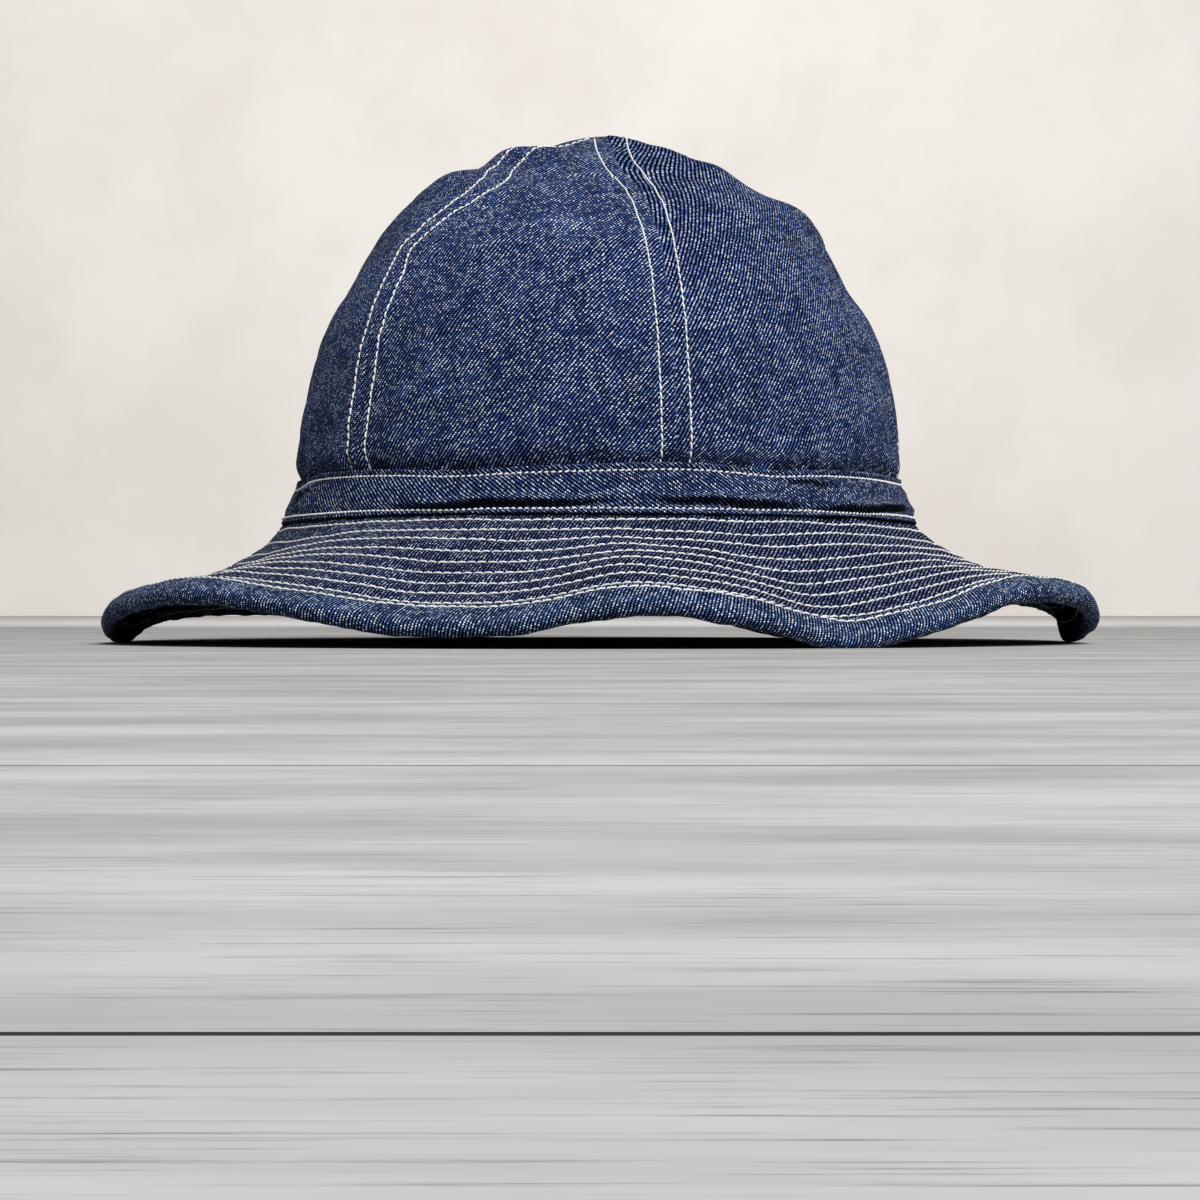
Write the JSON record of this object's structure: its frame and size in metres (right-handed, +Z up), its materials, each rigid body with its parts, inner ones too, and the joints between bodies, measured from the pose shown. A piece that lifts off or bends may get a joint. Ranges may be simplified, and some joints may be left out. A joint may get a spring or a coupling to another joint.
{
  "type": "brimmed sun hat",
  "caption": "Soft denim hat with a panelled dome crown, a narrow band, a wavy row-stitched brim and a bound edge.",
  "frame": {"origin": "on the surface the hat rests on, under the middle of the hat's outline", "axes": "+Z up through the crown's peak, -Y towards the front of the hat, +X towards the wearer's left"},
  "size_m": [0.2821, 0.3259, 0.1464],
  "materials": {
    "crown_denim": "matt twill",
    "band_denim": "matt twill",
    "brim_denim": "matt twill with stitch rows",
    "binding_denim": "matt twill"
  },
  "bodies": {
    "root": {"crown_gore_1": "crown_denim", "crown_gore_2": "crown_denim", "crown_gore_3": "crown_denim", "crown_gore_4": "crown_denim", "crown_gore_5": "crown_denim", "crown_gore_6": "crown_denim", "hat_band": "band_denim", "brim": "brim_denim", "brim_binding": "binding_denim"}
  },
  "joints": []
}
